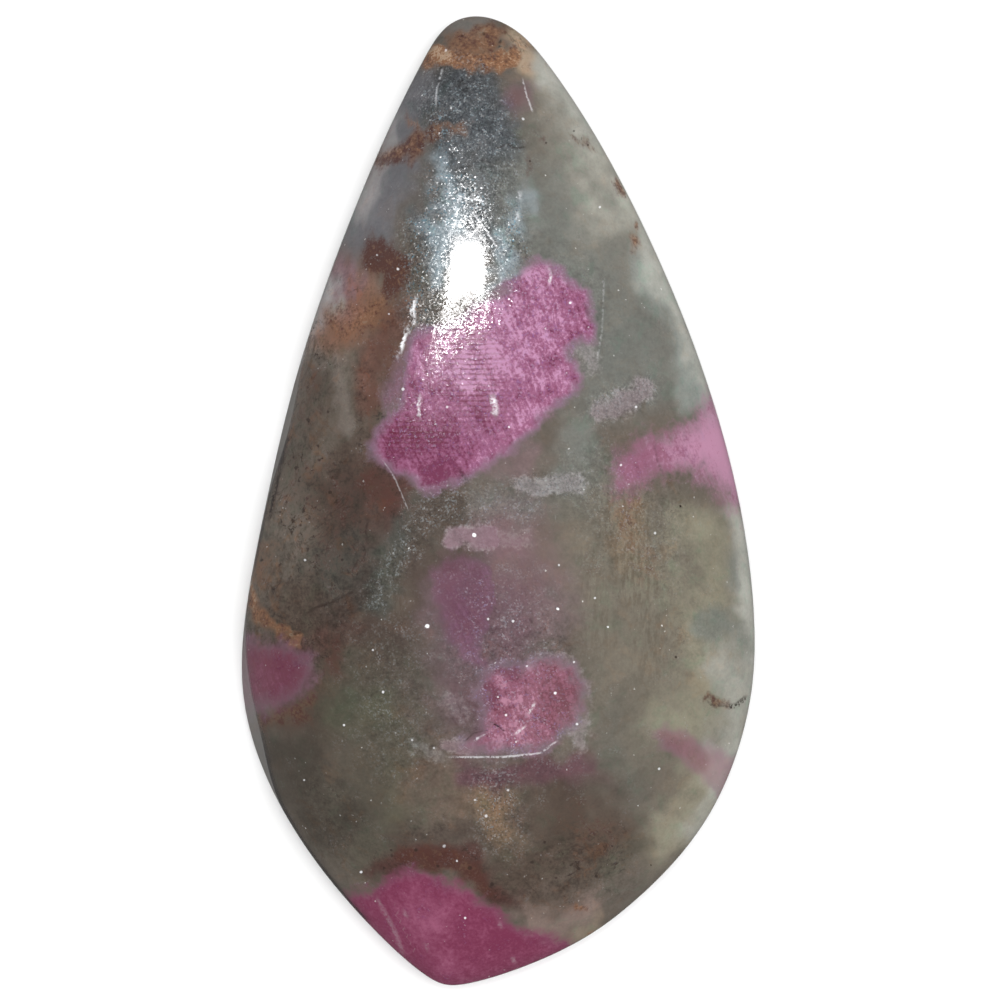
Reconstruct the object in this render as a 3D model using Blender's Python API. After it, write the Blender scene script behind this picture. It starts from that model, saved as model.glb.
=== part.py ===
"""Polished ruby in feldspar: one free-form cabochon, lying on its flat back.

Metres, +Z up. The origin is the middle of the stone's box on the flat back, and +Y runs along the stone
towards its narrow tip. From the back up, the stone has a small bevel, a ground girdle that leans in a little
and a polished dome whose level lines are smaller copies of its outline, rounder towards the top.
"""

import bpy
import bmesh
import numpy as np

MM = 0.001

# Driving dimensions of the stone
LENGTH = 40.0 * MM
WIDTH = 21.2 * MM
THICKNESS = 6.0 * MM

# The edge: a bevel round the back, then the ground girdle up to where the dome starts
BACK_BEVEL = 0.3 * MM
GIRDLE_TOP = 1.25 * MM
GIRDLE_LEAN = 0.06 * MM

# The dome: where its top lies, how flat it is there, how sharply its shoulder turns down, and the length of
# edge over which the outline's corners are rounded off in the level lines near the top
DOME_TOP = (-0.2 * MM, -2.6 * MM)
DOME_FLATNESS = 2.3
DOME_SHOULDER = 0.7
DOME_ROUNDING = 4.0 * MM

# Steps of the mesh: between two outline points, and from the girdle to the dome's top
STEPS_PER_SPAN = 6
DOME_RINGS = 18
SHARP_EDGE = np.radians(22.0)

# The outline seen from above, in millimetres, clockwise from the narrow tip
OUTLINE_MM = [
    (-0.82, 20.0),
    (0.62, 19.5),
    (1.85, 18.3),
    (4.1, 14.95),
    (6.65, 9.95),
    (8.6, 5.0),
    (10.0, -0.2),
    (10.6, -5.1),
    (10.3, -8.9),
    (8.6, -13.2),
    (5.7, -16.5),
    (2.6, -18.6),
    (-1.5, -20.0),
    (-2.9, -19.7),
    (-6.3, -16.5),
    (-9.2, -12.3),
    (-10.5, -8.5),
    (-10.5, -4.9),
    (-9.6, 0.0),
    (-7.9, 6.7),
    (-4.75, 14.9),
    (-3.12, 18.2),
    (-2.12, 19.6),
]

# Two stretches of the left side are ground back further: the middle of each along Y, how far it reaches
# towards the tip and away from it, and its greatest width seen from above
GROUND_FACETS = [
    {"middle": -9.3 * MM, "up": 5.2 * MM, "down": 3.7 * MM, "width": 0.38 * MM},
    {"middle": 3.2 * MM, "up": 3.8 * MM, "down": 3.6 * MM, "width": 0.22 * MM},
]

STONE_COLOUR = (0.16, 0.13, 0.12, 1.0)
STONE_ROUGHNESS = 0.22
STONE_IOR = 1.55


def clear_scene():
    """Takes every object and mesh out of the file."""
    for old in list(bpy.data.objects):
        bpy.data.objects.remove(old, do_unlink=True)
    for mesh in list(bpy.data.meshes):
        bpy.data.meshes.remove(mesh)


def closed_spline(points, steps):
    """A smooth closed curve through the points: cubic spans whose bend is continuous, with a span's length
    in the parameter the square root of its chord, so that close points don't make the curve overshoot."""
    start = np.asarray(points, float)
    end = np.roll(start, -1, axis=0)
    span = np.sqrt(np.linalg.norm(end - start, axis=1))
    before = np.roll(span, 1)
    count = len(start)
    row = np.arange(count)

    system = np.zeros((count, count))
    system[row, row - 1] += before
    system[row, row] += 2.0 * (before + span)
    system[row, (row + 1) % count] += span
    slope = (end - start) / span[:, None]
    bend = np.linalg.solve(system, 6.0 * (slope - np.roll(slope, 1, axis=0)))

    done = (np.arange(steps) / steps)[None, :, None] * span[:, None, None]
    whole = span[:, None, None]
    left = whole - done
    bend_start = bend[:, None, :]
    bend_end = np.roll(bend, -1, axis=0)[:, None, :]
    curve = (
        (bend_start * left**3 + bend_end * done**3) / (6.0 * whole)
        + (start[:, None, :] / whole - bend_start * whole / 6.0) * left
        + (end[:, None, :] / whole - bend_end * whole / 6.0) * done
    )
    return curve.reshape(-1, 2)


def stone_outline():
    """The outline at its real size, with its box centred on the origin."""
    curve = closed_spline(OUTLINE_MM, STEPS_PER_SPAN)
    low = curve.min(axis=0)
    high = curve.max(axis=0)
    return (curve - (low + high) / 2.0) * (WIDTH, LENGTH) / (high - low)


def inward(outline):
    """The unit direction into the stone at each point of the outline, which runs clockwise."""
    along = np.roll(outline, -1, axis=0) - np.roll(outline, 1, axis=0)
    along /= np.linalg.norm(along, axis=1)[:, None]
    return np.column_stack([along[:, 1], -along[:, 0]])


def facet_width(outline):
    """How wide the ground facets are at each point: a smooth swell over each stretch of the left side."""
    y = outline[:, 1]
    width = np.zeros(len(outline))
    for facet in GROUND_FACETS:
        off = y - facet["middle"]
        reach = np.where(off > 0.0, facet["up"], facet["down"])
        swell = np.cos(np.clip(np.abs(off) / reach, 0.0, 1.0) * np.pi / 2.0) ** 2
        width += facet["width"] * swell
    return np.where(outline[:, 0] < 0.0, width, 0.0)


def rounded(outline):
    """The outline with its corners taken off: each point is the mean of those near it along the edge."""
    forward = np.linalg.norm(np.roll(outline, -1, axis=0) - outline, axis=1)
    place = np.cumsum(forward) - forward
    share = (forward + np.roll(forward, 1)) / 2.0
    apart = np.abs(place[:, None] - place[None, :])
    apart = np.minimum(apart, forward.sum() - apart)
    weight = np.exp(-((apart / DOME_ROUNDING) ** 2)) * share[None, :]
    return weight @ outline / weight.sum(axis=1)[:, None]


def level_ring(points, height):
    """The points, all at one height."""
    return np.column_stack([points, np.full(len(points), height)])


def stone_rings():
    """The rings of points from the flat back up to the last one below the dome's top."""
    outline = stone_outline()
    into = inward(outline)
    lean = (GIRDLE_LEAN + facet_width(outline))[:, None]
    girdle = outline + into * lean
    rings = [
        level_ring(outline + into * BACK_BEVEL, 0.0),
        level_ring(outline, BACK_BEVEL),
        level_ring(girdle, GIRDLE_TOP),
    ]
    top = np.array(DOME_TOP)
    soft = rounded(girdle)
    for step in range(1, DOME_RINGS):
        share = np.cos(step / DOME_RINGS * np.pi / 2.0)
        rise = (1.0 - share**DOME_FLATNESS) ** DOME_SHOULDER
        height = GIRDLE_TOP + (THICKNESS - GIRDLE_TOP) * rise
        level = girdle * share**2 + soft * (1.0 - share**2)
        rings.append(level_ring(top + (level - top) * share, height))
    return rings


def stone_material():
    """Mottled grey-brown feldspar with ruby, as one average colour."""
    material = bpy.data.materials.new("ruby_feldspar")
    material.use_nodes = True
    shader = material.node_tree.nodes["Principled BSDF"]
    shader.inputs["Base Color"].default_value = STONE_COLOUR
    shader.inputs["Roughness"].default_value = STONE_ROUGHNESS
    shader.inputs["Metallic"].default_value = 0.0
    shader.inputs["IOR"].default_value = STONE_IOR
    return material


def build_cabochon():
    """The stone as one closed body: the back, bands of four-sided faces between the rings, and the top."""
    bm = bmesh.new()
    rings = [[bm.verts.new(point) for point in ring] for ring in stone_rings()]
    top = bm.verts.new((*DOME_TOP, THICKNESS))
    bm.faces.new(rings[0])
    for lower, upper in zip(rings, rings[1:]):
        for i in range(len(lower)):
            bm.faces.new((lower[i], lower[i - 1], upper[i - 1], upper[i]))
    last = rings[-1]
    for i in range(len(last)):
        bm.faces.new((last[i], last[i - 1], top))
    bmesh.ops.recalc_face_normals(bm, faces=bm.faces)

    mesh = bpy.data.meshes.new("cabochon")
    bm.to_mesh(mesh)
    bm.free()
    mesh.shade_smooth()
    mesh.set_sharp_from_angle(angle=SHARP_EDGE)
    mesh.materials.append(stone_material())
    stone = bpy.data.objects.new("cabochon", mesh)
    bpy.context.scene.collection.objects.link(stone)
    return stone


clear_scene()
build_cabochon()
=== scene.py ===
import math
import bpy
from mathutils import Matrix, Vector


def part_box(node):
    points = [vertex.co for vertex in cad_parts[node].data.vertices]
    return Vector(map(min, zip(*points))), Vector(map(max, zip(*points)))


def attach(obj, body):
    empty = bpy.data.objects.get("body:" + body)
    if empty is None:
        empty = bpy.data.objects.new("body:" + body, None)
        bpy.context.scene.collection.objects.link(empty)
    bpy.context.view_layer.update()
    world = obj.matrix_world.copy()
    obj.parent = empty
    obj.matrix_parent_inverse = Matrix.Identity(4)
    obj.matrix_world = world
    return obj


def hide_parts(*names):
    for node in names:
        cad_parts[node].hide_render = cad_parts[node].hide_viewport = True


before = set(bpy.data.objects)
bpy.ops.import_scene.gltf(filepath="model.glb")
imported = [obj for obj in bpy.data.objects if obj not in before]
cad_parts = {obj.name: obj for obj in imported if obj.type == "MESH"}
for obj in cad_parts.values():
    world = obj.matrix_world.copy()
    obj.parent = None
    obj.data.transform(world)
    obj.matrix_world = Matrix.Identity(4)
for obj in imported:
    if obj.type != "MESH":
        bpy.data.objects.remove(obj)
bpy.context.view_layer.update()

from types import SimpleNamespace

import bpy
import numpy as np
from mathutils import Matrix, Vector

# A polished free-form cabochon of ruby in feldspar, lying on its flat back on a pale studio floor.
# Lengths are in metres. Places on the stone's face are pixels of the 1000 x 1000 photograph.

millimetre = 0.001
micron = 0.000001
stoneLow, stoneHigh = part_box("cabochon")
stoneSize = stoneHigh - stoneLow

# How the photograph was framed: the camera looks straight down, with the narrow tip up
photoView = {
    "pixels": 1000.0,
    "stonePixels": 966.5,        # the stone's length in the picture
    "middle": (498.3, 500.75),   # where the middle of its outline shows
    "lens": 200.0,
    "sensor": 36.0,
}
pixel = stoneSize.y / photoView["stonePixels"]
viewWidth = photoView["pixels"] * pixel
viewDistance = viewWidth * photoView["lens"] / photoView["sensor"]
viewCentre = (
    (photoView["pixels"] / 2 - photoView["middle"][0]) * pixel,
    (photoView["middle"][1] - photoView["pixels"] / 2) * pixel,
)


# The stone's shape

stoneShape = {
    "backBevel": 0.3 * millimetre,      # rounded edge between the back and the girdle
    "girdleTop": 1.25 * millimetre,     # height at which the dome starts
    "girdleLean": 0.06 * millimetre,
    "domeTop": (-0.2 * millimetre, -2.6 * millimetre),
    "domeFlatness": 2.3,
    "domeShoulder": 0.7,
    "domeRounding": 4.0 * millimetre,   # length of edge over which corners fade towards the top
    "rippleDepth": 2.5 * micron,        # unevenness of a hand-held polish
    "rippleLength": 2.6 * millimetre,
    "undercut": 3.0 * micron,           # pits where soft grains polished away faster
    "undercutLength": 0.36 * millimetre,
    "reliefFade": 0.5 * millimetre,     # height above the girdle over which both come in
    # painted shade: a dark line round the dome's foot stands in for dark reflections on its steep edge
    "edgeLine": 0.013,                  # width of the dark line at the dome's foot, as a share of the stone
    "faintFootShade": 0.12,                  # how dark it is outside its dark stretches
    "stepsPerSpan": 18,
    "backRings": 42,
    "bevelRings": 4,
    "girdleRings": 6,
    "domeRings": 170,
    # clockwise from the narrow tip, in millimetres
    "outline": [
        (-0.82, 20.0), (0.62, 19.5), (1.85, 18.3), (4.1, 14.95), (6.65, 9.95), (8.6, 5.0),
        (10.0, -0.2), (10.6, -5.1), (10.3, -8.9), (8.6, -13.2), (5.7, -16.5), (2.6, -18.6),
        (-1.5, -20.0), (-2.9, -19.7), (-6.3, -16.5), (-9.2, -12.3), (-10.5, -8.5), (-10.5, -4.9),
        (-9.6, 0.0), (-7.9, 6.7), (-4.75, 14.9), (-3.12, 18.2), (-2.12, 19.6),
    ],
    # stretches of the left side that are ground back: middle along Y, reach up, reach down, width
    "facets": [
        (-9.3 * millimetre, 5.2 * millimetre, 3.7 * millimetre, 0.38 * millimetre),
        (3.2 * millimetre, 3.8 * millimetre, 3.6 * millimetre, 0.22 * millimetre),
    ],
}


# A closed curve through the points: cubic spans with a continuous bend, each span's share of the
# parameter being the square root of its chord.
def closedSpline(points, steps):
    start = np.asarray(points, float)
    end = np.roll(start, -1, axis=0)
    span = np.sqrt(np.linalg.norm(end - start, axis=1))
    before = np.roll(span, 1)
    row = np.arange(len(start))
    system = np.zeros((len(start), len(start)))
    system[row, row - 1] += before
    system[row, row] += 2 * (before + span)
    system[row, (row + 1) % len(start)] += span
    slope = (end - start) / span[:, None]
    bend = np.linalg.solve(system, 6 * (slope - np.roll(slope, 1, axis=0)))
    whole = span[:, None, None]
    done = (np.arange(steps) / steps)[None, :, None] * whole
    left = whole - done
    bendHere = bend[:, None, :]
    bendNext = np.roll(bend, -1, axis=0)[:, None, :]
    curve = (bendHere * left**3 + bendNext * done**3) / (6 * whole)
    curve += (start[:, None, :] / whole - bendHere * whole / 6) * left
    curve += (end[:, None, :] / whole - bendNext * whole / 6) * done
    return curve.reshape(-1, 2)


# The outline, stretched and moved so that its box is the solid's box.
def stoneOutline():
    curve = closedSpline(stoneShape["outline"], stoneShape["stepsPerSpan"])
    low, high = curve.min(axis=0), curve.max(axis=0)
    middle = np.array([stoneLow.x + stoneHigh.x, stoneLow.y + stoneHigh.y]) / 2
    return (curve - (low + high) / 2) * (stoneSize.x, stoneSize.y) / (high - low) + middle


# Unit steps into the stone: the outline's direction turned a quarter, for a curve that runs clockwise.
def inwardOf(outline):
    along = np.roll(outline, -1, axis=0) - np.roll(outline, 1, axis=0)
    along /= np.linalg.norm(along, axis=1)[:, None]
    return np.column_stack([along[:, 1], -along[:, 0]])


# Width of the ground facets: a squared cosine swell over each stretch of the left side.
def facetWidth(outline):
    width = np.zeros(len(outline))
    for middle, up, down, most in stoneShape["facets"]:
        off = outline[:, 1] - middle
        share = np.clip(np.abs(off) / np.where(off > 0, up, down), 0, 1)
        width += most * np.cos(share * math.pi / 2) ** 2
    return np.where(outline[:, 0] < 0, width, 0)


# The outline without its corners: each point is the bell-weighted mean of its neighbours along the edge.
def roundedOutline(outline):
    forward = np.linalg.norm(np.roll(outline, -1, axis=0) - outline, axis=1)
    place = np.cumsum(forward) - forward
    apart = np.abs(place[:, None] - place[None, :])
    apart = np.minimum(apart, forward.sum() - apart)
    share = (forward + np.roll(forward, 1)) / 2
    weight = np.exp(-((apart / stoneShape["domeRounding"]) ** 2)) * share[None, :]
    return weight @ outline / weight.sum(axis=1)[:, None]


# Height of the dome above the girdle where a level line is this share of the girdle's size.
def domeRise(share):
    rise = (1 - share ** stoneShape["domeFlatness"]) ** stoneShape["domeShoulder"]
    return (stoneSize.z - stoneShape["girdleTop"]) * rise


# The surface as a grid of rings (rows) by steps along the edge (columns): growing copies of the back's
# outline, a quarter round, a leaning wall, then level lines that shrink as a cosine towards the top.
# Also gives each point's depth below the dome, its kind of finish, 0 polished to 1 ground, and how near it
# is to the dome's foot, where a dark line of painted shade goes.
def stoneGrid():
    shape = stoneShape
    outline = stoneOutline()
    inward = inwardOf(outline)
    wallFoot = outline
    wallHead = outline + inward * (shape["girdleLean"] + facetWidth(outline))[:, None]
    backEdge = outline + inward * shape["backBevel"]
    centre = np.array(shape["domeTop"])
    softHead = roundedOutline(wallHead)
    rings = []

    share = np.linspace(0, 1, shape["backRings"] + 1)[1:, None, None]
    back = centre + (backEdge - centre) * share
    rings.append((back, 0 * share, domeRise(share) + shape["girdleTop"], 1 + 0 * share, 0 * share))

    turn = np.linspace(0, math.pi / 2, shape["bevelRings"] + 1)[1:, None, None]
    bevel = outline + inward * shape["backBevel"] * (1 - np.sin(turn))
    height = shape["backBevel"] * (1 - np.cos(turn))
    rings.append((bevel, height, shape["girdleTop"] - height, 1 + 0 * turn, 0 * turn))

    share = np.linspace(0, 1, shape["girdleRings"] + 1)[1:, None, None]
    wall = wallFoot + (wallHead - wallFoot) * share
    height = shape["backBevel"] + (shape["girdleTop"] - shape["backBevel"]) * share
    rings.append((wall, height, shape["girdleTop"] - height, 1 + 0 * share, 0 * share))

    turn = np.linspace(0, math.pi / 2, shape["domeRings"] + 1)[1:-1, None, None]
    share = np.cos(turn)
    level = wallHead * share**2 + softHead * (1 - share**2)
    dome = centre + (level - centre) * share
    # painted shade, strongest at the dome's foot
    edgeLine = np.exp(-(((1 - share) / shape["edgeLine"]) ** 2))
    rings.append((dome, shape["girdleTop"] + domeRise(share), 0 * turn, 0 * turn, edgeLine))

    flat = np.concatenate([ring[0] for ring in rings])
    column = np.ones(len(outline))
    height, depth, ground, edgeLine = [
        np.concatenate([ring[part][:, :, 0] * column for ring in rings]) for part in (1, 2, 3, 4)
    ]
    poles = np.array([(*centre, 0.0), (*centre, stoneSize.z)])
    points = np.concatenate([np.dstack([flat, height]).reshape(-1, 3), poles])
    depth = np.concatenate([depth.ravel(), [stoneSize.z, 0.0]])
    ground = np.concatenate([ground.ravel(), [1.0, 0.0]])
    edgeLine = np.concatenate([edgeLine.ravel(), [0.0, 0.0]])
    return points, depth, ground, edgeLine, flat.shape[:2]


# Faces of the grid: a fan at the back's middle, bands of four-sided faces that close on themselves, and
# a fan at the top.
def gridFaces(ringCount, stepCount):
    here = np.arange(stepCount)
    after = (here + 1) % stepCount
    row = (np.arange(ringCount - 1) * stepCount)[:, None]
    quads = np.stack([row + after, row + here, row + stepCount + here, row + stepCount + after], axis=2)
    backPole, topPole = ringCount * stepCount, ringCount * stepCount + 1
    last = (ringCount - 1) * stepCount
    backFan = np.stack([here, after, np.full(stepCount, backPole)], axis=1)
    topFan = np.stack([last + after, last + here, np.full(stepCount, topPole)], axis=1)
    return quads.reshape(-1, 4), np.concatenate([backFan, topFan])


# Fields on the surface

faceLight = 1.42   # how much brighter than its own colour a matte face looks under the studio's lights
crystalLean = (0.32, -0.24)   # across and down the picture, where a crystal is read for each step of depth
wanderLengths = (85, 19)      # pixels between the broad and the fine ripples of an edge
edgeSteps = 5                 # steps between two points of a crystal's outline
farOutside = -3.0             # the least depth in a crystal or a lath, in units of its softness
markReach = 7                 # pixels past which a fine line or a spot has no strength at all


# Waves in many directions added up: a smooth field of about unit strength, the same for the same seed.
def ripples(points, length, seed, waves=14):
    random = np.random.default_rng(seed)
    aim = random.normal(size=(waves, 3))
    aim /= np.linalg.norm(aim, axis=1)[:, None]
    aim *= 2 * math.pi / length * random.uniform(0.6, 1.5, size=(waves, 1))
    phase = random.uniform(0, 2 * math.pi, size=waves)
    return np.sin(points @ aim.T + phase).sum(axis=1) * math.sqrt(2 / waves)


# Where each point shows in the photograph: its offset from the view's centre, grown by nearness, in
# pixels. The third number is how far it lies below the face. The crystals lean through the stone, so the
# spots shift with that depth.
def photoSpots(points, depth):
    near = viewDistance / (viewDistance - points[:, 2])
    half = photoView["pixels"] / 2
    deep = depth / pixel
    across = half + (points[:, 0] - viewCentre[0]) * near / pixel + crystalLean[0] * deep
    down = half - (points[:, 1] - viewCentre[1]) * near / pixel + crystalLean[1] * deep
    return np.column_stack([across, down, deep])


# The spots pushed about by two sizes of ripple, so that no edge runs smooth.
def wander(spots, broad, fine, seed):
    pushed = spots.copy()
    for axis in (0, 1):
        pushed[:, axis] += broad * ripples(spots, wanderLengths[0], seed + axis)
        pushed[:, axis] += fine * ripples(spots, wanderLengths[1], seed + 2 + axis)
    return pushed


# Distance from a line of straight pieces, or from a single point: the least over its pieces.
def awayFrom(spots, path):
    stops = np.array(path, float)
    least = np.linalg.norm(spots[:, :2] - stops[0], axis=1)
    for start, end in zip(stops, stops[1:]):
        along = end - start
        share = np.clip((spots[:, :2] - start) @ along / (along @ along), 0, 1)
        least = np.minimum(least, np.linalg.norm(spots[:, :2] - start - share[:, None] * along, axis=1))
    return least


# How far inside a closed smooth outline: the distance to it, negative outside.
def insideOf(spots, outline):
    edge = closedSpline(outline, edgeSteps)
    ring = np.concatenate([edge, edge[:1]])
    x, y = spots[:, 0], spots[:, 1]
    inside = np.zeros(len(spots), bool)
    for (ax, ay), (bx, by) in zip(ring, ring[1:]):
        if ay != by:
            inside ^= ((ay > y) != (by > y)) & (x < (bx - ax) * (y - ay) / (by - ay) + ax)
    return np.where(inside, 1, -1) * awayFrom(spots, ring)


# A logistic step from 1 near a path to 0 away from it, half way down at the path's half width.
def nearTo(spots, path, width, soft):
    steepness = 2.5 / soft
    return 1 / (1 + np.exp(np.clip((awayFrom(spots, path) - width) * steepness, -40, 40)))


# A surface colour that looks like this 0 to 255 screen colour in the studio's light.
def linear(colour):
    c = np.asarray(colour, float) / 255
    return np.where(c <= 0.04045, c / 12.92, ((c + 0.055) / 1.055) ** 2.4) / faceLight


# The rock's minerals, as they look in even light, with a few painted light colours for glare and bright edges
minerals = {
    "taupe": (106, 97, 88), "umber": (86, 73, 64), "soot": (74, 61, 55),
    "redUmber": (88, 60, 54), "moss": (90, 84, 73), "darkMoss": (76, 69, 61),
    "clay": (140, 104, 86), "russet": (110, 80, 70), "slate": (113, 112, 116),
    "steel": (82, 86, 90), "paintedGlareHalo": (168, 184, 192), "stoneGrey": (119, 120, 114),
    "sage": (144, 149, 143), "paleSage": (160, 159, 149), "chalk": (188, 187, 175),
    "olive": (118, 111, 99), "drab": (106, 102, 93), "paleOlive": (141, 136, 118),
    "cream": (153, 147, 128), "tan": (110, 95, 84), "sand": (134, 112, 88),
    "straw": (172, 152, 130), "mauve": (112, 91, 95), "rose": (126, 108, 109),
    "plum": (104, 74, 80), "wine": (80, 50, 46), "dustyPink": (134, 116, 108),
    "dustyPlum": (138, 110, 116), "ash": (120, 115, 110), "greenGrey": (80, 80, 74),
    "lichen": (93, 93, 76), "window": (122, 112, 104), "blot": (121, 125, 118),
    "paintedRimLightGrey": (170, 166, 166), "paintedRimLightPale": (180, 180, 171),
}

# Broad patches of the feldspar, laid over each other in turn: mineral, amount, half width, softness, path.
# Partly painted shade: they run darker on the left and paler on the right, in part for light from the right.
groundPatches = [
    ("umber", 1.0, 56, 30, [(308, 490), (328, 560), (330, 640), (322, 700)]),
    ("soot", 0.85, 22, 18, [(350, 500), (348, 560), (342, 630)]),
    ("taupe", 1.0, 26, 12, [(318, 370), (312, 430), (294, 490), (276, 550)]),
    ("greenGrey", 0.7, 20, 12, [(318, 562), (352, 556)]),
    ("umber", 0.55, 11, 7, [(320, 392), (308, 430), (300, 452)]),
    ("umber", 0.7, 9, 6, [(372, 385), (370, 440)]),
    ("soot", 0.7, 16, 12, [(377, 532), (374, 560), (390, 612)]),
    ("umber", 0.6, 14, 10, [(352, 440), (346, 462)]),
    ("window", 0.85, 10, 3.5, [(340, 364), (343, 400), (346, 434)]),
    ("window", 0.5, 14, 8, [(312, 352), (306, 372)]),
    ("clay", 1.0, 26, 14, [(352, 290), (332, 325)]),
    ("russet", 1.0, 16, 10, [(383, 320), (388, 400)]),
    ("redUmber", 1.0, 22, 12, [(376, 470), (392, 508)]),
    ("dustyPlum", 1.0, 12, 8, [(348, 272), (338, 292)]),
    ("slate", 1.0, 30, 12, [(408, 96), (398, 130), (385, 180), (366, 230)]),
    ("ash", 1.0, 10, 6, [(450, 32), (472, 22), (496, 24)]),
    ("steel", 1.0, 36, 14, [(462, 92), (480, 130), (474, 175), (456, 230)]),
    ("stoneGrey", 1.0, 42, 22, [(528, 190), (560, 240), (605, 310), (618, 380)]),
    ("drab", 0.6, 14, 12, [(538, 130), (536, 160), (530, 190)]),
    ("sage", 1.0, 20, 14, [(658, 264), (671, 306), (684, 350), (691, 395)]),
    ("paleSage", 0.95, 24, 30, [(580, 118), (596, 150), (612, 190), (622, 215)]),
    ("paleSage", 0.5, 14, 16, [(556, 84), (572, 104)]),
    ("chalk", 0.9, 12, 20, [(600, 160), (618, 205)]),
    ("stoneGrey", 1.0, 26, 16, [(570, 430), (588, 500)]),
    ("olive", 1.0, 62, 28, [(612, 540), (640, 600), (640, 680), (620, 720)]),
    ("paleOlive", 1.0, 26, 16, [(702, 530), (710, 600), (706, 680), (690, 720)]),
    ("paleSage", 1.0, 13, 10, [(741, 500), (752, 600), (747, 680), (738, 730)]),
    ("paleSage", 1.0, 22, 12, [(734, 676), (738, 745)]),
    ("cream", 1.0, 24, 18, [(712, 785), (690, 818), (668, 838)]),
    ("chalk", 0.5, 8, 10, [(736, 745), (728, 775)]),
    ("mauve", 1.0, 56, 26, [(460, 596), (490, 630), (472, 690)]),
    ("moss", 0.7, 12, 8, [(436, 552), (470, 556)]),
    ("rose", 0.6, 22, 16, [(525, 560), (555, 600)]),
    ("moss", 1.0, 46, 26, [(375, 700), (385, 760), (370, 830)]),
    ("lichen", 0.6, 22, 16, [(335, 716), (376, 700)]),
    ("lichen", 0.7, 16, 12, [(398, 768), (408, 812)]),
    ("redUmber", 0.8, 14, 10, [(326, 660), (345, 642)]),
    ("soot", 0.6, 20, 16, [(360, 640), (396, 646)]),
    ("darkMoss", 1.0, 26, 16, [(284, 750), (305, 785), (336, 826)]),
    ("tan", 1.0, 26, 18, [(422, 775), (452, 800)]),
    ("soot", 0.7, 12, 12, [(405, 836), (450, 836), (494, 848)]),
    ("sand", 0.85, 20, 20, [(488, 800), (502, 822)]),
    ("umber", 1.0, 34, 20, [(560, 800), (592, 845), (520, 872)]),
    ("soot", 0.6, 16, 14, [(580, 786), (604, 780)]),
    ("plum", 1.0, 18, 9, [(480, 776), (520, 775), (558, 762), (588, 756)]),
    ("drab", 0.8, 18, 14, [(618, 720), (630, 790)]),
    ("plum", 0.5, 12, 10, [(454, 700), (460, 716)]),
    ("wine", 0.95, 9, 8, [(384, 872), (412, 858), (450, 862), (482, 880), (508, 904)]),
    ("ash", 0.9, 20, 12, [(484, 508), (528, 504)]),
    ("dustyPlum", 0.4, 10, 8, [(500, 536), (530, 536)]),
    ("dustyPlum", 0.55, 9, 8, [(504, 464), (520, 460)]),
    ("greenGrey", 0.9, 17, 8, [(436, 505), (402, 550), (376, 598)]),
    ("umber", 0.9, 15, 9, [(446, 490), (424, 520), (446, 545), (424, 566), (396, 612)]),
    ("dustyPink", 1.0, 13, 9, [(530, 915), (588, 905)]),
    ("straw", 0.5, 8, 8, [(566, 936), (592, 926)]),
    ("moss", 0.8, 14, 12, [(616, 872), (640, 852)]),
    ("blot", 0.8, 12, 7, [(712, 624), (730, 632)]),
    ("blot", 0.7, 10, 6, [(737, 560), (742, 572)]),
    ("sand", 0.5, 12, 8, [(628, 500), (640, 572)]),
    ("straw", 1.0, 11, 7, [(506, 36), (520, 50), (542, 62)]),
    # painted highlight: pale patches around the key light's reflection stand in for its glare
    ("paintedGlareHalo", 0.8, 9, 9, [(448, 164), (440, 212), (434, 240)]),
    ("paintedGlareHalo", 0.95, 10, 8, [(438, 246), (434, 286)]),
    ("paintedGlareHalo", 0.5, 8, 8, [(521, 196), (518, 222)]),
    ("paintedGlareHalo", 0.8, 8, 8, [(498, 236), (500, 284)]),
    # painted light: thin edges made paler for light coming through them and reflected off them
    ("paintedRimLightGrey", 0.7, 12, 6, [(390, 108), (358, 182), (341, 226), (322, 276), (306, 321), (296, 356)]),
    ("paintedRimLightGrey", 1.0, 15, 7, [(321, 290), (308, 326), (297, 357)]),
    ("paintedRimLightPale", 0.9, 14, 9, [(564, 68), (612, 147), (638, 201), (661, 250), (684, 305), (703, 354),
                             (717, 392)]),
    ("paintedRimLightPale", 0.7, 14, 8, [(753, 520), (760, 580), (762, 640), (759, 692), (749, 740), (728, 792),
                             (697, 835)]),
]

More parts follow.
